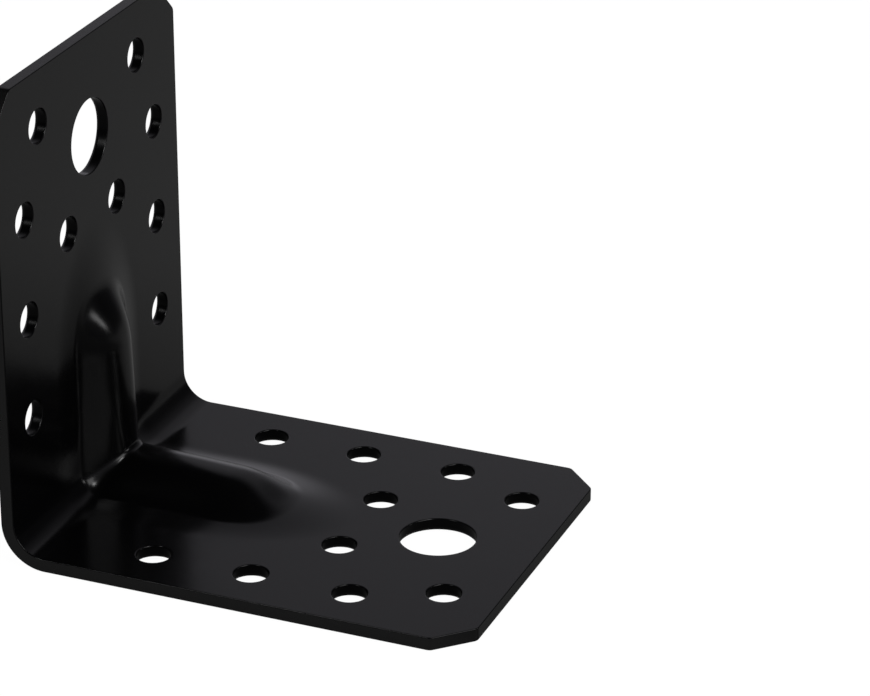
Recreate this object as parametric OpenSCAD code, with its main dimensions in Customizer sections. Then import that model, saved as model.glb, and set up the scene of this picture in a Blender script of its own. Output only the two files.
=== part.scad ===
// Corner brace bracket: one pressed steel sheet bent to a right angle.
// Both legs carry the same pattern of holes, and one rib runs across the bend.
// The sheet is drawn from its outer corner, where the two outer faces would meet:
// X runs along the base leg, Z along the wall leg and Y across the width.
// The finished part stands on the base leg, with its origin under the middle of its box.

/* [Sheet] */
// Length of each leg, from the outer corner to its free end
leg_len = 70; // [60:1:120]
// Width of the bracket
width = 55; // [50:1:90]
// Thickness of the steel sheet
sheet_t = 2; // [1.5:0.1:3]
// Inside radius of the bend between the legs
bend_r = 4.5; // [3:0.5:6]
// Length cut off both edges at each free corner
corner_cut = 5; // [2:0.5:6]

/* [Screw holes] */
// Diameter of the screw holes
screw_d = 5; // [4:0.1:6]
// Distance of the first of the three side rows from the outer corner
row_start = 20; // [18:0.5:22]
// Distance of the last of the three side rows from the free end of the leg
row_end_inset = 20; // [18:0.5:22]
// Distance across the bracket between the two holes of a row
row_span = 40; // [36:0.5:42]
// Distance of the end row from the free end of the leg
end_row_inset = 8; // [7:0.5:9]
// Distance across the bracket between the two holes of the end row
end_row_span = 30; // [27:0.5:32]
// Distance of the middle pair of holes from the free end of the leg
middle_inset = 27; // [26:0.5:27.5]
// Distance across the bracket between the two holes of the middle pair
middle_span = 15; // [13:0.5:18]
// Width of the broken edge round every hole, on both faces
rim_break = 0.3; // [0.1:0.05:0.4]

/* [Bolt hole] */
// Diameter of the bolt hole
bolt_d = 11; // [8:0.5:12]
// Distance of the bolt hole from the free end of the leg
bolt_inset = 15; // [14:0.5:16]

/* [Rib] */
// Height of the rib above the inner face of the leg, at the outer corner
rib_h = 5.4; // [3:0.1:6]
// How much lower the crest lies where the rib's nose starts
rib_sink = 0.9; // [0:0.1:1.5]
// Width of the rib where it leaves the flat sheet
rib_w = 18; // [16:0.5:24]
// Length of the rib's rounded nose
rib_nose = 11; // [9:0.5:12]
// Distance from the tip of the rib to the free end of the leg
rib_inset = 36; // [34:0.5:38]
// Fullness of the rib's crest, where a higher value gives a flatter top
rib_crown = 2; // [1.4:0.05:2.4]
// Softness of the rib's foot, where a higher value gives a wider curve into the flat sheet
rib_foot = 2; // [1.2:0.05:2.4]

/* [Hidden] */

// Past a face, so that a cut leaves no skin
clear = 1;
// Facets of true round shapes
round_steps = 96;
// Depth that the foot of the rib dips under the sheet's face, to meet it cleanly
rib_dip = 0.03;
// Contour lines of the rib between its foot and its crest
rib_rings = 12;
// Straight pieces round the end of each contour line
rib_arc_steps = 24;
// Share of the rib's half width that is left as the flat top of its crest
rib_crest_share = 0.04;

bend_outer_r = bend_r + sheet_t;
rib_half_w = rib_w / 2;
rib_run = leg_len - rib_inset - rib_nose;
bolt_row = leg_len - bolt_inset;
end_row = leg_len - end_row_inset;
middle_row = leg_len - middle_inset;
row_count = 3;
row_pitch = (leg_len - row_end_inset - row_start) / (row_count - 1);

// Height of the rib where its nose starts, at a share of the way from its crest line, 0, to its foot, 1
function rib_rise(share) = (rib_h - rib_sink) * pow(1 - pow(share, rib_crown), rib_foot);

// The same at a distance from the outer corner, on the straight part of the rib
function rib_rise_at(share, x) = rib_rise(share) * (rib_h - rib_sink * x / rib_run) / (rib_h - rib_sink);

// One contour line of the rib: along one side, round the nose and back along the other
function rib_contour(share, start, low, high) = concat(
    [[start, -share * rib_half_w, low]],
    [for (i = [0 : rib_arc_steps])
        let (angle = -90 + 180 * i / rib_arc_steps)
        [rib_run + share * rib_nose * cos(angle), share * rib_half_w * sin(angle), high]],
    [[start, share * rib_half_w, low]]);

// Joins a stack of contour lines, each with the same number of points, into one solid
module contour_solid(rings) {
    count = len(rings[0]);
    last = len(rings) - 1;
    points = [for (ring = rings) each ring];
    walls = [for (r = [0 : last - 1], i = [0 : count - 1])
        let (next = (i + 1) % count, low = r * count, high = low + count)
        each [[low + i, high + next, low + next], [low + i, high + i, high + next]]];
    foot = [for (i = [0 : count - 1]) i];
    crest = [for (i = [count - 1 : -1 : 0]) last * count + i];
    polyhedron(points = points, faces = concat([foot], walls, [crest]), convexity = 4);
}

// Everything under the rib's surface on both legs, where that surface lies
// at the given height above the outer face at the rib's foot
module rib_mass(face_z) {
    shares = [for (r = [0 : rib_rings]) 1 - (1 - rib_crest_share) * r / rib_rings];
    both_legs()
        contour_solid(concat(
            [rib_contour(1, -clear, -clear, -clear)],
            [for (share = shares)
                let (foot_z = face_z - rib_dip)
                rib_contour(share, -clear, foot_z + rib_rise_at(share, -clear), foot_z + rib_rise(share))]));
}

// Copies a shape of the base leg to the wall leg, mirrored in the plane midway between them
module both_legs() {
    children();
    mirror([1, 0, -1]) children();
}

// Side view of everything that lies deeper than the given depth under the outer faces
module inside_of(depth) {
    size = leg_len - depth;
    radius = bend_outer_r - depth;
    translate([depth, depth]) {
        translate([radius, 0]) square([size - radius, size]);
        translate([0, radius]) square([size, size - radius]);
        translate([radius, radius]) circle(radius, $fn = round_steps);
    }
}

// A side view drawn out across the bracket
module across(span) {
    rotate([90, 0, 0]) linear_extrude(span, center = true) children();
}

// The flat sheet bent once, before any hole or rib
module bent_sheet() {
    across(width)
        difference() {
            inside_of(0);
            inside_of(sheet_t);
        }
}

// The corner cut off the base leg's free end on the +Y side
module corner_waste() {
    translate([leg_len, width / 2, -clear])
        linear_extrude(sheet_t + 2 * clear)
            polygon([
                [-corner_cut, 0], [-corner_cut, clear], [clear, clear], [clear, -corner_cut], [0, -corner_cut]
            ]);
}

// A punched hole whose edges are broken on both faces
module hole(x, y, diameter) {
    wide = diameter + 2 * (rim_break + clear);
    reach = rim_break + clear;
    translate([x, y, -clear]) {
        cylinder(d = diameter, h = sheet_t + 2 * clear, $fn = round_steps);
        cylinder(d1 = wide, d2 = diameter, h = reach, $fn = round_steps);
        translate([0, 0, sheet_t + clear - rim_break])
            cylinder(d1 = diameter, d2 = wide, h = reach, $fn = round_steps);
    }
}

// Two equal holes, one on each side of the middle
module hole_pair(x, span, diameter) {
    for (side = [-1, 1]) hole(x, side * span / 2, diameter);
}

// Every hole of one leg
module leg_holes() {
    for (row = [0 : row_count - 1]) hole_pair(row_start + row * row_pitch, row_span, screw_d);
    hole_pair(middle_row, middle_span, screw_d);
    hole_pair(end_row, end_row_span, screw_d);
    hole(bolt_row, 0, bolt_d);
}

// The whole bracket, drawn from its outer corner
module pressed_sheet() {
    difference() {
        union() {
            bent_sheet();
            intersection() {
                rib_mass(sheet_t);
                across(width) inside_of(sheet_t / 2);
            }
        }
        rib_mass(0);
        both_legs() leg_holes();
        both_legs() for (side = [0, 1]) mirror([0, side, 0]) corner_waste();
    }
}

module bracket() {
    color([0.04, 0.04, 0.045])
        translate([-leg_len / 2, 0, 0])
            pressed_sheet();
}

bracket();
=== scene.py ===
"""Corner brace bracket: one pressed steel sheet with a black coating, dressed for a studio picture.

The sheet is laid out flat in a plan (u, y). u runs along the sheet: positive on the base leg, zero on the
fold and negative on the wall leg. The plan is cut into triangles round its holes and then folded into place.
Sizes are millimetres in the sheet's own frame, whose origin is the outer corner where both outer faces
would meet. They become metres in the part's frame when the mesh is written.
"""

import logging
import math
from dataclasses import dataclass, field
from enum import Enum

import bpy
from mathutils import Matrix, Vector
from mathutils.geometry import delaunay_2d_cdt

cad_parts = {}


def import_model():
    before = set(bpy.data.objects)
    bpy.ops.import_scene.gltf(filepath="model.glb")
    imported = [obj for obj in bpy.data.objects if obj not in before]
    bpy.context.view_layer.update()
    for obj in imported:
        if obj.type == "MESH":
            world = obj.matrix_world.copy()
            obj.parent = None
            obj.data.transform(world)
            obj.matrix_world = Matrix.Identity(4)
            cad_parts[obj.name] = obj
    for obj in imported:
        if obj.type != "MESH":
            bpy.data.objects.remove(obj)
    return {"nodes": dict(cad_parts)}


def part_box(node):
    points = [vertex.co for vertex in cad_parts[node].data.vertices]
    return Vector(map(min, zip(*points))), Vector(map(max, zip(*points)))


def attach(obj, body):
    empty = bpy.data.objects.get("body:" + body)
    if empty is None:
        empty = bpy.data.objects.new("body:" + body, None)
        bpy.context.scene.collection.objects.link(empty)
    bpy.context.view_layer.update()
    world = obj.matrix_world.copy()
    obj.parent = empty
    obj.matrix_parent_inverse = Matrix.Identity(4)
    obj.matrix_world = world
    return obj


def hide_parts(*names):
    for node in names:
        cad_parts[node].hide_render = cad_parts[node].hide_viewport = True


LOG = logging.getLogger("corner_brace")
MM = 0.001
PICTURE_WIDTH = 870
WHITE = (1.0, 1.0, 1.0, 1.0)
SIDES = (-1, 1)

Socket = bpy.types.NodeSocket
Feed = float | tuple[float, ...] | Vector | Socket


class Face(Enum):
    """The two faces of the sheet."""

    INNER = "inner"
    OUTER = "outer"


class Finish(Enum):
    """Which coating a stretch of the sheet's surface takes, by material slot."""

    FLAT = 0
    EDGE = 1
    BORE = 2


class Ease(Enum):
    """How a shader value passes from one level to another."""

    EVEN = "LINEAR"
    SOFT = "SMOOTHSTEP"


class Blend(Enum):
    """What the Mix node blends: its data type, and the numbers of its low, high and result sockets."""

    VALUES = ("FLOAT", 2, 3, 0)
    COLOURS = ("RGBA", 6, 7, 2)


@dataclass(frozen=True)
class Swelling:
    """A straight swelling with a rounded nose, pressed into a leg from the outer corner, in millimetres.

    It keeps its width for the length of its run and ends at its tip. The crown and the foot are powers: a
    larger crown makes the top fuller, and a larger foot makes the foot softer. The crest sinks by the sink
    over the run. A squareness of 2 gives an oval nose, and more gives a squarer one.
    """

    height: float
    half_width: float
    run: float
    tip: float
    crown: float
    foot: float
    sink: float = 0.0
    squareness: float = 2.0

    def rise(self, x: float, y: float) -> float:
        """Height of the swelling at a place on a leg.

        Args:
            x: Distance from the outer corner along the leg.
            y: Distance from the middle of the width.

        Returns:
            The height, which is 0 at the foot and outside it.
        """
        across = abs(y) / self.half_width
        along = max(0.0, x - self.run) / (self.tip - self.run)
        share = (across**self.squareness + along**self.squareness) ** (1.0 / self.squareness)
        if share >= 1.0:
            return 0.0
        crest = self.height - self.sink * min(1.0, max(0.0, x) / self.run)
        return crest * (1.0 - share**self.crown) ** self.foot


@dataclass(frozen=True)
class Rib:
    """The stiffening rib pressed inwards across the fold: a high body on a low wide ridge, in millimetres."""

    body: Swelling = Swelling(
        height=3.8, half_width=8.6, run=22.0, tip=33.0, crown=2.6, foot=2.2, sink=0.9, squareness=2.6
    )
    ridge: Swelling = Swelling(height=1.6, half_width=13.0, run=20.0, tip=43.0, crown=2.0, foot=2.2)
    crease_radius: float = 0.8

    def rise(self, x: float, y: float) -> float:
        """Height of the rib above the flat sheet at a place on a leg."""
        return self.body.rise(x, y) + self.ridge.rise(x, y)


@dataclass(frozen=True)
class Sheet:
    """The folded sheet's sizes and surfaces, in millimetres.

    Within the fold zone the plan is drawn together to suit the fold's curve. The crease fade is the height
    of rib that brings the fold about two thirds of the way to the rib's own tight crease, and the probe is
    the step over which slopes are measured.
    """

    leg: float
    width: float
    rib: Rib
    thickness: float = 2.0
    bend_radius: float = 4.5
    corner_cut: float = 5.0
    corner_radius: float = 1.2
    fold_zone: float = 12.0
    crease_fade: float = 1.8
    probe: float = 0.01

    def fold_radius(self, y: float) -> float:
        """Inside radius of the fold, which is tighter where the rib crosses it.

        Args:
            y: Distance from the middle of the width.

        Returns:
            The radius in millimetres.
        """
        rise = self.rib.rise(0.0, y)
        tight = self.rib.crease_radius
        return tight + (self.bend_radius - tight) * math.exp(-rise / self.crease_fade)

    def shape(self, x: float, y: float, face: Face) -> tuple[float, float]:
        """Shape of a face before the fold lifts it.

        Args:
            x: Distance from the outer corner along the leg.
            y: Distance from the middle of the width.
            face: Which face is meant.

        Returns:
            The level of the face above the leg's underside, and the radius of its fold.
        """
        inner = face is Face.INNER
        level = self.rib.rise(x, y) + (self.thickness if inner else 0.0)
        return level, self.fold_radius(y) + (0.0 if inner else self.thickness)

    def level(self, x: float, y: float, face: Face) -> float:
        """Height of a face of the base leg above its underside.

        Args:
            x: Distance from the outer corner along the leg.
            y: Distance from the middle of the width.
            face: Which face is meant.

        Returns:
            The height in millimetres, with the fold's curve in it.
        """
        level, radius = self.shape(x, y, face)
        inside = level + radius - x
        if inside <= 0.0:
            return level
        return level + radius - math.sqrt(max(0.0, radius**2 - inside**2))

    def along(self, u: float, y: float, face: Face) -> float:
        """Distance from the outer corner along a leg for a place in the plan.

        Args:
            u: Distance along the sheet from the fold.
            y: Distance from the middle of the width.
            face: Which face the place lies on.

        Returns:
            The distance in millimetres, the same as in the plan beyond the fold's own zone.
        """
        distance = abs(u)
        if distance >= self.fold_zone:
            return distance
        level, radius = self.shape(0.0, y, face)
        fold = level + radius * (1.0 - math.sqrt(0.5))
        return fold + (self.fold_zone - fold) * distance / self.fold_zone

    def place(self, u: float, y: float, face: Face) -> tuple[Vector, Vector]:
        """Folds a place of the plan into space.

        Args:
            u: Distance along the sheet from the fold.
            y: Distance from the middle of the width.
            face: Which face the place lies on.

        Returns:
            The point, and the unit normal that points out of the material.
        """
        x = self.along(u, y, face)
        step = self.probe
        slope_x = (self.level(x + step, y, face) - self.level(x - step, y, face)) / (2.0 * step)
        slope_y = (self.level(x, y + step, face) - self.level(x, y - step, face)) / (2.0 * step)
        point = Vector((x, y, self.level(x, y, face)))
        normal = Vector((-slope_x, -slope_y, 1.0)).normalized()
        if u < 0.0:
            point, normal = point.zyx, normal.zyx
        return point, normal if face is Face.INNER else -normal

    def plan_direction(self, u: float, direction: Vector) -> Vector:
        """Turns a direction of the plan into space, on the flat part of a leg.

        Args:
            u: Distance along the sheet from the fold, which says which leg is meant.
            direction: The direction in the plan.

        Returns:
            The same direction along the leg.
        """
        if u < 0.0:
            return Vector((0.0, direction.y, -direction.x))
        return Vector((direction.x, direction.y, 0.0))


@dataclass(frozen=True)
class RimRounding:
    """How the press and the coating round an edge on each face, with a flat margin, in millimetres."""

    inner: float
    outer: float
    steps: int = 4
    margin: float = 0.35

    def radius(self, face: Face) -> float:
        """Radius of the rounded edge on a face."""
        return self.inner if face is Face.INNER else self.outer

    def widest(self) -> float:
        """How far the rounded edge and its flat margin reach into the sheet."""
        return max(self.inner, self.outer) + self.margin


SHEARED = RimRounding(inner=0.15, outer=0.2)
PUNCHED = RimRounding(inner=0.2, outer=0.7)


@dataclass
class Rim:
    """A closed edge of the sheet in the plan: its outline or a hole, with the material on its left."""

    points: list[Vector]
    outward: list[Vector]
    rounding: RimRounding

    # A direction with more than this share along the sheet counts as lengthwise.
    LENGTHWISE = 0.9

    @classmethod
    def hole(cls, u: float, y: float, radius: float, steps: int) -> "Rim":
        """Edge of a round hole.

        Args:
            u: Place of the hole's centre along the sheet.
            y: Place of the centre across the width.
            radius: Radius of the hole.
            steps: Number of points round it.

        Returns:
            The rim, turned so that the material is on its left.
        """
        turns = [-math.tau * i / steps for i in range(steps)]
        spokes = [Vector((math.cos(a), math.sin(a))) for a in turns]
        centre = Vector((u, y))
        return cls([centre + radius * s for s in spokes], [-s for s in spokes], PUNCHED)

    @classmethod
    def outline(cls, sheet: Sheet, steps: int = 6) -> "Rim":
        """Edge of the whole plan, with its cut corners slightly rounded.

        Args:
            sheet: The sheet's sizes.
            steps: Pieces in the curve at each corner.

        Returns:
            The rim, anticlockwise.
        """
        leg, half, cut = sheet.leg, sheet.width / 2.0, sheet.corner_cut
        corners = [(leg, cut - half), (leg, half - cut), (leg - cut, half), (cut - leg, half)]
        corners += [(-x, -y) for x, y in corners]
        vertices = [Vector(c) for c in corners]
        points: list[Vector] = []
        outward: list[Vector] = []
        for i, vertex in enumerate(vertices):
            following = vertices[(i + 1) % len(vertices)]
            before = (vertex - vertices[i - 1]).normalized()
            after = (following - vertex).normalized()
            turn = abs(before.angle_signed(after))
            reach = sheet.corner_radius * math.tan(turn / 2.0)
            normal = Vector((before.y, -before.x))
            centre = vertex - reach * before - sheet.corner_radius * normal
            for k in range(steps + 1):
                spoke = Matrix.Rotation(turn * k / steps, 2) @ normal
                points.append(centre + sheet.corner_radius * spoke)
                outward.append(spoke)
            for point in cls.straight(sheet, points[-1], following - reach * after):
                points.append(point)
                outward.append(Vector((after.y, -after.x)))
        return cls(points, outward, SHEARED)

    @classmethod
    def straight(cls, sheet: Sheet, start: Vector, end: Vector) -> list[Vector]:
        """Points between two ends of a straight edge, closer together where the sheet folds.

        Args:
            sheet: The sheet's sizes.
            start: One end of the edge in the plan.
            end: The other end.

        Returns:
            The points, without the two ends.
        """
        fine, coarse = 0.35, 3.0
        length = (end - start).length
        way = (end - start) / length
        points: list[Vector] = []
        done = 0.0
        while True:
            here = start + way * done
            folded = abs(way.x) > cls.LENGTHWISE and abs(here.x) < sheet.fold_zone
            done += fine if folded else coarse
            if done > length - fine:
                return points
            points.append(start + way * done)

    def offset(self, depth: float) -> list[Vector]:
        """The same edge moved into the material by a depth."""
        return [p - depth * n for p, n in zip(self.points, self.outward)]

    def finish(self, number: int) -> Finish:
        """Coating of the cut wall, whose free ends are as glossy as the faces.

        Args:
            number: Which point of the rim is meant.

        Returns:
            The finish of the wall that starts at the point.
        """
        if self.rounding is PUNCHED:
            return Finish.BORE
        return Finish.FLAT if abs(self.outward[number].x) > self.LENGTHWISE else Finish.EDGE


@dataclass(frozen=True)
class HolePattern:
    """The holes of one leg, in millimetres from the outer corner and from the middle of the width."""

    screw_radius: float = 2.5
    rows: tuple[float, ...] = (20.0, 35.0, 50.0)
    row_span: float = 40.0
    middle_row: float = 43.0
    middle_span: float = 15.0
    end_row: float = 62.0
    end_span: float = 30.0
    bolt_radius: float = 5.5
    bolt_row: float = 55.0
    screw_steps: int = 56
    bolt_steps: int = 96

    def holes(self) -> list[tuple[float, float, float, int]]:
        """Lists the holes of a leg.

        Returns:
            Every hole as distance along the leg, place across it, radius and steps.
        """
        pairs = [(x, self.row_span) for x in self.rows]
        pairs += [(self.middle_row, self.middle_span), (self.end_row, self.end_span)]
        screw = (self.screw_radius, self.screw_steps)
        found = [(x, side * span / 2.0, *screw) for x, span in pairs for side in SIDES]
        found.append((self.bolt_row, 0.0, self.bolt_radius, self.bolt_steps))
        return found

    def rims(self) -> list[Rim]:
        """The rims of all holes of both legs."""
        return [Rim.hole(way * x, y, r, n) for way in SIDES for x, y, r, n in self.holes()]

    def clear_of(self, u: float, y: float, margin: float) -> bool:
        """Whether a place of the plan keeps a margin from every hole."""
        return all(math.hypot(abs(u) - x, y - hole_y) > r + margin for x, hole_y, r, _ in self.holes())


def spread(start: float, stop: float, step: float) -> list[float]:
    """Evenly spaced values from start to stop, both included, at most a step apart."""
    count = max(1, math.ceil((stop - start) / step))
    return [start + (stop - start) * i / count for i in range(count + 1)]


@dataclass(frozen=True)
class PlanGrid:
    """How far apart the inner points of the plan lie, and their gaps to its edges, in millimetres."""

    fold_step: float = 0.3
    fold_reach: float = 9.0
    side_step: float = 1.6
    side_gap: float = 1.3
    crest_step: float = 1.5
    crest_start: float = 10.0
    nose_step: float = 0.4
    open_step: float = 4.0
    open_gap: float = 1.2
    tip_gap: float = 1.0
    edge_gap: float = 0.4
    end_gap: float = 1.0
    hole_gap: float = 0.3


@dataclass
class SheetMesh:
    """Cuts the plan into triangles, folds it and joins its two faces round every rim."""

    sheet: Sheet
    pattern: HolePattern
    grid: PlanGrid = field(default_factory=PlanGrid)
    points: list[Vector] = field(default_factory=list)
    normals: list[Vector] = field(default_factory=list)
    faces: list[tuple[int, ...]] = field(default_factory=list)
    finishes: list[Finish] = field(default_factory=list)

    def add_point(self, point: Vector, normal: Vector) -> int:
        """Keeps a vertex.

        Args:
            point: Its place.
            normal: The surface's direction there, of any length.

        Returns:
            The vertex's number.
        """
        self.points.append(point)
        self.normals.append(normal.normalized())
        return len(self.points) - 1

    def add_face(self, corners: tuple[int, ...], face: Face, finish: Finish) -> None:
        """Keeps a face given anticlockwise as seen on the inner side."""
        self.faces.append(corners if face is Face.INNER else corners[::-1])
        self.finishes.append(finish)

    def rim_rings(self, rim: Rim, face: Face) -> list[list[int]]:
        """Lays the rings of vertices that round an edge on one face.

        Args:
            rim: The edge.
            face: The face whose edge is rounded.

        Returns:
            The rings' vertex numbers, from the cut wall to the flat margin.
        """
        rounding = rim.rounding
        radius = rounding.radius(face)
        quarter = math.pi / 2.0
        rings: list[list[int]] = []
        for k in range(rounding.steps + 1):
            turn = quarter * k / rounding.steps
            depth = radius * (1.0 - math.cos(turn))
            sink = radius * (1.0 - math.sin(turn))
            rings.append(self.ring(rim, face, depth, sink, turn))
        rings.append(self.ring(rim, face, rounding.widest(), 0.0, quarter))
        return rings

    def ring(self, rim: Rim, face: Face, depth: float, sink: float, turn: float) -> list[int]:
        """Lays one ring of vertices beside an edge.

        Args:
            rim: The edge.
            face: The face that the ring lies on.
            depth: How far into the sheet's plan the ring lies.
            sink: How far under the face it lies.
            turn: Lean of its normals, from 0 along the sheet to a right angle off the face.

        Returns:
            The vertices' numbers.
        """
        made: list[int] = []
        for place, outward in zip(rim.offset(depth), rim.outward):
            point, normal = self.sheet.place(place.x, place.y, face)
            side = self.sheet.plan_direction(place.x, outward)
            lean = normal * math.sin(turn) + side * math.cos(turn)
            made.append(self.add_point(point - normal * sink, lean))
        return made

    def inner_places(self) -> list[Vector]:
        """Spreads points over the plan, close together on the fold and the rib and few elsewhere.

        Returns:
            The places, all of them clear of the edges and holes.
        """
        sheet, ridge, grid = self.sheet, self.sheet.rib.ridge, self.grid
        edge = sheet.width / 2.0 - SHEARED.widest() - grid.edge_gap
        end = sheet.leg - SHEARED.widest() - grid.end_gap
        half = ridge.half_width
        rib_lines = spread(-half - grid.fold_step, half + grid.fold_step, grid.fold_step)
        side_lines = spread(half + grid.side_gap, edge, grid.side_step)
        fold_lines = spread(-grid.fold_reach, grid.fold_reach, grid.fold_step)
        places = [Vector((u, y)) for u in fold_lines for y in rib_lines]
        places += [Vector((u, way * y)) for u in fold_lines for y in side_lines for way in SIDES]
        crest = spread(grid.crest_start, ridge.run, grid.crest_step)
        nose = spread(ridge.run + grid.nose_step, ridge.tip, grid.nose_step)
        places += [Vector((way * u, y)) for u in crest + nose for y in rib_lines for way in SIDES]
        for u in spread(sheet.fold_zone, end, grid.open_step):
            for y in spread(-edge, edge, grid.open_step):
                beside_rib = abs(y) > half + grid.open_gap or u > ridge.tip + grid.tip_gap
                far_from_corner = end - u + edge - abs(y) > sheet.corner_cut
                if beside_rib and far_from_corner:
                    places += [Vector((u, y)), Vector((-u, y))]
        margin = PUNCHED.widest() + grid.hole_gap
        return [p for p in places if self.pattern.clear_of(p.x, p.y, margin)]

    def build(self) -> None:
        """Makes all vertices and faces."""
        rims = [Rim.outline(self.sheet)] + self.pattern.rims()
        rings = {face: [self.rim_rings(rim, face) for rim in rims] for face in Face}
        for face in Face:
            for stack in rings[face]:
                self.skin_rim(stack, face)
        for rim, inner, outer in zip(rims, rings[Face.INNER], rings[Face.OUTER]):
            self.skin_wall(rim, inner[0], outer[0])
        self.skin_flats(rims, rings)

    def skin_rim(self, stack: list[list[int]], face: Face) -> None:
        """Joins the rings beside an edge with quads.

        Args:
            stack: The rings' vertex numbers, from the cut wall to the flat margin.
            face: The face that they lie on.
        """
        for outer_ring, inner_ring in zip(stack, stack[1:]):
            for i in range(len(outer_ring)):
                j = (i + 1) % len(outer_ring)
                quad = (outer_ring[i], outer_ring[j], inner_ring[j], inner_ring[i])
                self.add_face(quad, face, Finish.FLAT)

    def skin_wall(self, rim: Rim, top: list[int], bottom: list[int]) -> None:
        """Joins the two faces along an edge with the cut wall.

        Args:
            rim: The edge.
            top: Vertex numbers of its ring on the inner face.
            bottom: Vertex numbers of its ring on the outer face.
        """
        for i in range(len(top)):
            j = (i + 1) % len(top)
            self.add_face((top[i], bottom[i], bottom[j], top[j]), Face.INNER, rim.finish(i))

    def skin_flats(self, rims: list[Rim], rings: dict[Face, list[list[list[int]]]]) -> None:
        """Fills the plan between the rims with triangles and folds them on to both faces.

        Args:
            rims: The outline and the holes.
            rings: For each face and rim, the rings' vertex numbers from the cut wall to the flat margin.
        """
        inside_only, tolerance = 1, 1e-5
        places: list[Vector] = []
        edges: list[tuple[int, int]] = []
        margins: dict[Face, list[int]] = {face: [] for face in Face}
        for number, rim in enumerate(rims):
            first = len(places)
            ring = rim.offset(rim.rounding.widest())
            places += ring
            edges += [(first + i, first + (i + 1) % len(ring)) for i in range(len(ring))]
            for face in Face:
                margins[face] += rings[face][number][-1]
        on_rims = len(places)
        places += self.inner_places()
        spots, _, triangles, sources, _, _ = delaunay_2d_cdt(places, edges, [], inside_only, tolerance)
        numbers: dict[Face, list[int]] = {face: [] for face in Face}
        for spot, source in zip(spots, sources):
            origin = source[0] if source else -1
            for face in Face:
                if 0 <= origin < on_rims:
                    numbers[face].append(margins[face][origin])
                else:
                    numbers[face].append(self.add_point(*self.sheet.place(spot.x, spot.y, face)))
        for triangle in triangles:
            middle = sum((spots[i] for i in triangle), Vector((0.0, 0.0))) / len(triangle)
            if not self.pattern.clear_of(middle.x, middle.y, PUNCHED.widest()):
                continue
            for face in Face:
                self.add_face(tuple(numbers[face][i] for i in triangle), face, Finish.FLAT)

    def to_object(self, name: str, shift: Vector) -> bpy.types.Object:
        """Writes the mesh in metres.

        Args:
            name: Name of the object and of its mesh.
            shift: Where the outer corner lies in the part's frame, in millimetres.

        Returns:
            The new object, linked to the scene.
        """
        mesh = bpy.data.meshes.new(name)
        mesh.from_pydata([(p + shift) * MM for p in self.points], [], self.faces)
        mesh.polygons.foreach_set("material_index", [f.value for f in self.finishes])
        mesh.polygons.foreach_set("use_smooth", [True] * len(self.faces))
        mesh.update()
        mesh.normals_split_custom_set_from_vertices(self.normals)
        return new_object(name, mesh)


def new_object(name: str, data: bpy.types.ID) -> bpy.types.Object:
    """Makes an object of a mesh, lamp or camera and links it to the scene.

    Args:
        name: The object's name.
        data: What it shows.

    Returns:
        The new object.
    """
    made = bpy.data.objects.new(name, data)
    bpy.context.scene.collection.objects.link(made)
    return made


def bearing(azimuth: float, elevation: float) -> Vector:
    """Direction from the part towards a place round it.

    Args:
        azimuth: Degrees round the part from its near side, growing towards the base leg's free end.
        elevation: Degrees above the floor.

    Returns:
        The direction, one unit long.
    """
    turn, rise = math.radians(azimuth), math.radians(elevation)
    return Vector((math.sin(turn) * math.cos(rise), -math.cos(turn) * math.cos(rise), math.sin(rise)))


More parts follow.
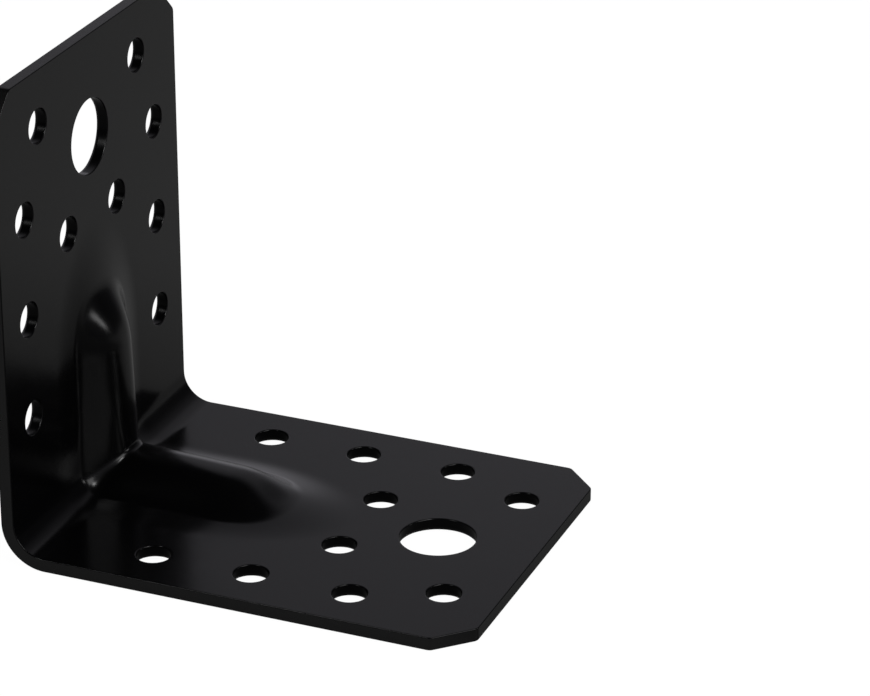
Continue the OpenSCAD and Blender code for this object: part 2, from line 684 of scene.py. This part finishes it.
class NodeBench:
    """Places and joins shader nodes in one tree. A feed is a plain value, or the socket that gives one."""

    def __init__(self, tree: bpy.types.NodeTree) -> None:
        """Takes the tree to work in."""
        self.tree = tree

    def join(self, feed: Feed, socket: Socket) -> None:
        """Gives a socket its value, or joins it to the socket that gives one.

        Args:
            feed: The value or the other socket.
            socket: The socket that takes it.
        """
        if isinstance(feed, Socket):
            self.tree.links.new(feed, socket)
        else:
            socket.default_value = feed

    def add(self, kind: str, settings: dict[str, object] | None = None, **feeds: Feed) -> bpy.types.Node:
        """Places a node.

        Args:
            kind: The node's type name.
            settings: Properties of the node itself.
            **feeds: What its inputs take, by socket name with underscores for spaces.

        Returns:
            The node.
        """
        node = self.tree.nodes.new(kind)
        for key, value in (settings or {}).items():
            setattr(node, key, value)
        for key, feed in feeds.items():
            self.join(feed, node.inputs[key.replace("_", " ")])
        return node

    def calculate(self, operation: str, *feeds: Feed) -> Socket:
        """Places a calculation with two or three feeds.

        Args:
            operation: The name of the calculation.
            *feeds: What it works on, in order.

        Returns:
            The socket with the result.
        """
        node = self.add("ShaderNodeMath", {"operation": operation})
        for feed, socket in zip(feeds, node.inputs):
            self.join(feed, socket)
        return node.outputs[0]

    def blend(self, factor: Feed, low: Feed, high: Feed, kind: Blend = Blend.VALUES) -> Socket:
        """Blends two feeds.

        Args:
            factor: Share of the high feed.
            low: Feed at a factor of 0.
            high: Feed at a factor of 1.
            kind: Whether the feeds are values or colours.

        Returns:
            The socket with the blend.
        """
        data_type, low_socket, high_socket, result = kind.value
        node = self.add("ShaderNodeMix", {"data_type": data_type})
        for feed, number in ((factor, 0), (low, low_socket), (high, high_socket)):
            self.join(feed, node.inputs[number])
        return node.outputs[result]

    def ramp(self, feed: Feed, span: tuple[Feed, Feed], levels: tuple[Feed, Feed], ease: Ease) -> Socket:
        """Turns a span of a feed into another span, and holds its end levels outside it.

        Args:
            feed: What is turned.
            span: Feeds for the two ends of the span.
            levels: Feeds for the levels at those ends.
            ease: How one level passes into the other.

        Returns:
            The socket with the new level.
        """
        node = self.add(
            "ShaderNodeMapRange",
            {"interpolation_type": ease.value},
            Value=feed,
            From_Min=span[0],
            From_Max=span[1],
            To_Min=levels[0],
            To_Max=levels[1],
        )
        return node.outputs["Result"]

    def by_ray(self, camera: Feed, shiny: Feed, other: Feed) -> Socket:
        """Picks a value by the kind of ray.

        Args:
            camera: Feed for camera rays.
            shiny: Feed for gloss and transmission rays.
            other: Feed for every other ray.

        Returns:
            The socket with the value.
        """
        rays = self.add("ShaderNodeLightPath").outputs
        mirrored = self.calculate("MAXIMUM", rays["Is Glossy Ray"], rays["Is Transmission Ray"])
        return self.blend(rays["Is Camera Ray"], self.blend(mirrored, other, shiny), camera)


class CoatTexture:
    """Shader node group of the coating's own texture: a faint ripple and an uneven gloss."""

    NAME = "coat_texture"
    INPUTS = (
        ("Ripple Scale", 900.0),
        ("Ripple Height", 0.00001),
        ("Grain Height", 0.000002),
        ("Roughness Low", 0.2),
        ("Roughness High", 0.3),
    )
    GRAIN_SCALE = 5200.0
    GLOSS_SCALE = 120.0
    GLOSS_SPAN = (0.3, 0.7)

    @classmethod
    def group(cls) -> bpy.types.NodeTree:
        """Makes the group once, or finds it.

        Returns:
            The node group, with inputs for scale and strength and outputs for normal and gloss.
        """
        if cls.NAME in bpy.data.node_groups:
            return bpy.data.node_groups[cls.NAME]
        tree = bpy.data.node_groups.new(cls.NAME, "ShaderNodeTree")
        for name, value in cls.INPUTS:
            socket = tree.interface.new_socket(name, in_out="INPUT", socket_type="NodeSocketFloat")
            socket.default_value = value
        tree.interface.new_socket("Normal", in_out="OUTPUT", socket_type="NodeSocketVector")
        tree.interface.new_socket("Roughness", in_out="OUTPUT", socket_type="NodeSocketFloat")
        bench = NodeBench(tree)
        given = bench.add("NodeGroupInput").outputs
        place = bench.add("ShaderNodeTexCoord").outputs["Object"]
        noise = "ShaderNodeTexNoise"
        ripple = bench.add(noise, Vector=place, Scale=given["Ripple Scale"], Detail=1.5, Roughness=0.45)
        grain = bench.add(noise, Vector=place, Scale=cls.GRAIN_SCALE, Detail=2.0, Roughness=0.6)
        gloss = bench.add(noise, Vector=place, Scale=cls.GLOSS_SCALE, Detail=4.0, Roughness=0.55)
        ripple_rise = bench.calculate("MULTIPLY", ripple.outputs["Fac"], given["Ripple Height"])
        relief = bench.calculate("MULTIPLY_ADD", grain.outputs["Fac"], given["Grain Height"], ripple_rise)
        bump = bench.add("ShaderNodeBump", Strength=1.0, Distance=1.0, Height=relief)
        levels = (given["Roughness Low"], given["Roughness High"])
        roughness = bench.ramp(gloss.outputs["Fac"], cls.GLOSS_SPAN, levels, Ease.EVEN)
        bench.add("NodeGroupOutput", Normal=bump.outputs["Normal"], Roughness=roughness)
        return tree


@dataclass(frozen=True)
class BlackCoat:
    """A black coating over steel: colour, gloss and the height of its ripple, in metres."""

    name: str
    colour: tuple[float, float, float]
    ior: float
    roughness: tuple[float, float]
    ripple_scale: float
    ripple_height: float
    grain_height: float

    def material(self) -> bpy.types.Material:
        """Makes the material.

        Returns:
            A material whose Principled shader takes its normal and roughness from the coat's texture.
        """
        made = bpy.data.materials.new(self.name)
        made.use_nodes = True
        bench = NodeBench(made.node_tree)
        shader = made.node_tree.nodes["Principled BSDF"]
        texture = bench.add(
            "ShaderNodeGroup",
            {"node_tree": CoatTexture.group()},
            Ripple_Scale=self.ripple_scale,
            Ripple_Height=self.ripple_height,
            Grain_Height=self.grain_height,
            Roughness_Low=self.roughness[0],
            Roughness_High=self.roughness[1],
        )
        bench.join((*self.colour, 1.0), shader.inputs["Base Color"])
        bench.join(self.ior, shader.inputs["IOR"])
        for name in ("Normal", "Roughness"):
            bench.join(texture.outputs[name], shader.inputs[name])
        return made


FLAT_COAT = BlackCoat(
    name="black_coat_on_faces",
    colour=(0.0006, 0.0006, 0.0007),
    ior=1.27,
    roughness=(0.17, 0.22),
    ripple_scale=700.0,
    ripple_height=0.0000030,
    grain_height=0.0000004,
)
EDGE_COAT = BlackCoat(
    name="black_coat_on_cut_edges",
    colour=(0.0012, 0.0012, 0.0013),
    ior=1.46,
    roughness=(0.24, 0.32),
    ripple_scale=1400.0,
    ripple_height=0.0000100,
    grain_height=0.0000010,
)
BORE_COAT = BlackCoat(
    name="black_coat_in_holes",
    colour=(0.0006, 0.0006, 0.0007),
    ior=1.20,
    roughness=(0.20, 0.28),
    ripple_scale=1400.0,
    ripple_height=0.0000060,
    grain_height=0.0000010,
)


@dataclass
class Bracket:
    """The bracket itself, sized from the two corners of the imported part's box, in metres."""

    low: Vector
    high: Vector
    rib: Rib = field(default_factory=Rib)
    pattern: HolePattern = field(default_factory=HolePattern)

    def build(self) -> bpy.types.Object:
        """Makes the dressed sheet in place of the plain one.

        Returns:
            The new piece, which rides on the part's one body.
        """
        leg = (self.high.x - self.low.x) / MM
        width = (self.high.y - self.low.y) / MM
        shaped = SheetMesh(Sheet(leg, width, self.rib), self.pattern)
        shaped.build()
        piece = shaped.to_object("pressed_sheet", Vector((self.low.x / MM, 0.0, self.low.z / MM)))
        for coat in (FLAT_COAT, EDGE_COAT, BORE_COAT):
            piece.data.materials.append(coat.material())
        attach(piece, "root")
        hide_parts("bracket")
        LOG.info("%s: %d vertices, %d faces", piece.name, len(shaped.points), len(shaped.faces))
        return piece


@dataclass(frozen=True)
class Softbox:
    """A square lamp: where it stands round the part in degrees and metres, its size and its power."""

    name: str
    azimuth: float
    elevation: float
    distance: float
    size: float
    watts: float

    def build(self, aim: Vector) -> bpy.types.Object:
        """Makes the lamp.

        Args:
            aim: What it points at.

        Returns:
            The lamp.
        """
        light = bpy.data.lights.new(self.name, "AREA")
        light.shape = "SQUARE"
        light.size = self.size
        light.energy = self.watts
        made = new_object(self.name, light)
        away = bearing(self.azimuth, self.elevation)
        made.location = aim + away * self.distance
        made.rotation_euler = away.to_track_quat("Z", "Y").to_euler()
        LOG.info("lamp %s", self.name)
        return made


@dataclass(frozen=True)
class Viewpoint:
    """The camera's place: turned round the part, raised above it and aimed at a point.

    Angles are degrees. The distance, the aim and the film's width are millimetres, and the clipping limits
    are metres.
    """

    azimuth: float = 22.181
    elevation: float = 24.967
    roll: float = -0.093
    distance: float = 542.34
    aim: tuple[float, float, float] = (43.569, 26.799, 17.969)
    focal_pixels: float = 3683.6
    film_width: float = 36.0
    clipping: tuple[float, float] = (0.01, 50.0)

    def build(self, corner: Vector) -> bpy.types.Object:
        """Makes the camera.

        Args:
            corner: Where the sheet's outer corner lies in the part's frame, in metres.

        Returns:
            The camera, set as the scene's.
        """
        data = bpy.data.cameras.new("viewpoint")
        data.sensor_width = self.film_width
        data.lens = self.focal_pixels / PICTURE_WIDTH * self.film_width
        data.clip_start, data.clip_end = self.clipping
        made = new_object("viewpoint", data)
        back = bearing(self.azimuth, self.elevation)
        right = (-back).cross(Vector((0.0, 0.0, 1.0))).normalized()
        down = (-back).cross(right)
        roll = math.radians(self.roll)
        rolled_right = right * math.cos(roll) + down * math.sin(roll)
        rolled_down = down * math.cos(roll) - right * math.sin(roll)
        axes = Matrix((rolled_right, -rolled_down, back)).transposed()
        place = corner + Vector(self.aim) * MM + back * self.distance * MM
        made.matrix_world = Matrix.Translation(place) @ axes.to_4x4()
        bpy.context.scene.camera = made
        return made


@dataclass(frozen=True)
class RoomPatch:
    """A soft darker or brighter part of the room as the gloss sees it, such as the ceiling.

    Its limits are degrees from its middle, and its level is a share of the room's own light.
    """

    towards: tuple[float, float, float]
    inner: float
    outer: float
    level: float

    def share(self, bench: NodeBench) -> Socket:
        """Places the patch in a world.

        Args:
            bench: The world's tree.

        Returns:
            The socket with the share of the room's light, which is 1 outside the patch.
        """
        seen = bench.add("ShaderNodeTexCoord").outputs["Generated"]
        nearness = bench.add("ShaderNodeVectorMath", {"operation": "DOT_PRODUCT"})
        bench.join(seen, nearness.inputs[0])
        bench.join(Vector(self.towards).normalized(), nearness.inputs[1])
        limits = (math.cos(math.radians(self.outer)), math.cos(math.radians(self.inner)))
        return bench.ramp(nearness.outputs["Value"], limits, (1.0, self.level), Ease.SOFT)


@dataclass
class Studio:
    """The pale floor, the world and the lamps.

    Lengths and the spans over which the floor darkens, in part as a painted shadow, are metres. A level is a
    strength of light, where 1 is white, and a share is how much of the floor's look is its own glow.
    """

    floor_size: float = 6.0
    floor_drop: float = 0.0001
    floor_colour: float = 0.56
    dark_floor_colour: float = 0.15
    # Painted shadow on the floor, seen only in the part's gloss: its grey falls to this darker grey between
    # the two depths behind the part's middle, and stays there towards the front.
    painted_shadow_grey: float = 0.31
    painted_shadow_span: tuple[float, float] = (0.030, 0.080)
    dark_floor_reach: tuple[float, float] = (0.030, 0.040)
    dark_floor_depth: tuple[float, float] = (0.045, 0.090)
    camera_level: float = 1.03
    gloss_tint: tuple[float, float, float] = (0.980, 0.960, 1.040)
    gloss_level: float = 0.47
    fill_level: float = 0.75
    camera_share: float = 0.95
    floor_gloss_level: float = 0.08
    gloss_share: float = 0.55
    patches: tuple[RoomPatch, ...] = (
        RoomPatch(towards=(-0.05, -0.20, 1.0), inner=32.0, outer=58.0, level=0.05),
        RoomPatch(towards=(-0.25, -0.60, 0.75), inner=25.0, outer=50.0, level=0.20),
        RoomPatch(towards=(0.50, 0.80, 0.30), inner=18.0, outer=32.0, level=0.46),
        RoomPatch(towards=(0.90, 0.40, 0.15), inner=30.0, outer=50.0, level=0.20),
        RoomPatch(towards=(-0.30, -0.95, 0.25), inner=45.0, outer=65.0, level=0.10),
        RoomPatch(towards=(-0.46, 0.83, 0.32), inner=4.0, outer=9.0, level=0.58),
        RoomPatch(towards=(-0.33, 0.92, 0.19), inner=6.0, outer=13.0, level=1.75),
    )
    boxes: tuple[Softbox, ...] = (
        Softbox("key_box", azimuth=71.0, elevation=27.0, distance=0.6, size=0.28, watts=1.25),
        Softbox("key_core", azimuth=106.0, elevation=13.0, distance=0.59, size=0.09, watts=0.22),
        Softbox("crease_box", azimuth=56.0, elevation=45.0, distance=0.59, size=0.12, watts=0.90),
        Softbox("front_box", azimuth=-24.0, elevation=35.0, distance=0.6, size=0.13, watts=0.65),
    )

    def floor(self) -> bpy.types.Object:
        """Makes the floor, white to the camera, dim in the part's gloss and with the part's shadow on it.

        Returns:
            The floor.
        """
        half = self.floor_size / 2.0
        mesh = bpy.data.meshes.new("floor")
        corners = [(-half, -half), (half, -half), (half, half), (-half, half)]
        mesh.from_pydata([(x, y, -self.floor_drop) for x, y in corners], [], [(0, 1, 2, 3)])
        made = new_object("floor", mesh)
        mesh.materials.append(self.floor_paint())
        return made

    def floor_paint(self) -> bpy.types.Material:
        """Makes the floor's material.

        Returns:
            A material that mixes a matt paint with a glow, by the kind of ray.
        """
        paint = bpy.data.materials.new("pale_floor")
        paint.use_nodes = True
        paint.node_tree.nodes.clear()
        bench = NodeBench(paint.node_tree)
        matt = bench.add("ShaderNodeBsdfDiffuse", Color=self.floor_shade(bench))
        level = bench.by_ray(self.camera_level, self.floor_gloss_level, self.camera_level)
        glow = bench.add("ShaderNodeEmission", Color=WHITE, Strength=level)
        share = bench.by_ray(self.camera_share, self.gloss_share, 0.0)
        mixed = bench.add("ShaderNodeMixShader")
        for feed, socket in zip((share, matt.outputs[0], glow.outputs[0]), mixed.inputs):
            bench.join(feed, socket)
        bench.add("ShaderNodeOutputMaterial", Surface=mixed.outputs[0])
        return paint

    def floor_shade(self, bench: NodeBench) -> Socket:
        """Colour of the floor: even for the camera, and in the part's gloss darker near it, partly a painted
        shadow.

        Args:
            bench: The floor material's tree.

        Returns:
            The socket with the grey.
        """
        place = bench.add("ShaderNodeNewGeometry").outputs["Position"]
        axes = bench.add("ShaderNodeSeparateXYZ", Vector=place).outputs
        # Painted shadow: the part's gloss sees the floor darker from behind the part towards the front.
        painted_shadow_levels = (self.painted_shadow_grey, self.floor_colour)
        painted_shadow_floor = bench.ramp(axes["Y"], self.painted_shadow_span, painted_shadow_levels, Ease.EVEN)
        dark = (self.dark_floor_colour, self.floor_colour)
        beyond = bench.ramp(axes["Y"], self.dark_floor_depth, dark, Ease.SOFT)
        shade = bench.ramp(axes["X"], self.dark_floor_reach, (painted_shadow_floor, beyond), Ease.SOFT)
        camera = bench.add("ShaderNodeLightPath").outputs["Is Camera Ray"]
        return bench.blend(camera, shade, self.floor_colour)

    def world(self) -> None:
        """Makes the plain pale world, which the part's gloss sees as a dimmer room with its patches."""
        world = bpy.data.worlds.new("pale_world")
        bpy.context.scene.world = world
        world.use_nodes = True
        world.node_tree.nodes.clear()
        bench = NodeBench(world.node_tree)
        room: Feed = self.gloss_level
        for patch in self.patches:
            room = bench.calculate("MULTIPLY", patch.share(bench), room)
        strength = bench.by_ray(self.camera_level, room, self.fill_level)
        shiny = bench.add("ShaderNodeLightPath").outputs["Is Glossy Ray"]
        colour = bench.blend(shiny, WHITE, (*self.gloss_tint, 1.0), Blend.COLOURS)
        sky = bench.add("ShaderNodeBackground", Color=colour, Strength=strength)
        bench.add("ShaderNodeOutputWorld", Surface=sky.outputs[0])

    def build(self, aim: Vector) -> None:
        """Makes the floor, the world and the lamps.

        Args:
            aim: What the lamps point at.
        """
        self.floor()
        self.world()
        for box in self.boxes:
            box.build(aim)


def main() -> None:
    """Builds the dressed bracket, the studio and the camera."""
    logging.basicConfig(level=logging.INFO, format="%(name)s: %(message)s")
    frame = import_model()
    LOG.info("frame with nodes %s", ", ".join(frame["nodes"]))
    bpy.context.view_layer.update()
    low, high = (Vector(corner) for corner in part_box("bracket"))
    corner = Vector((low.x, 0.0, low.z))
    Bracket(low, high).build()
    Studio().build((low + high) / 2.0)
    Viewpoint().build(corner)
    bpy.context.scene.view_settings.view_transform = "Standard"


if __name__ == "__main__":
    main()
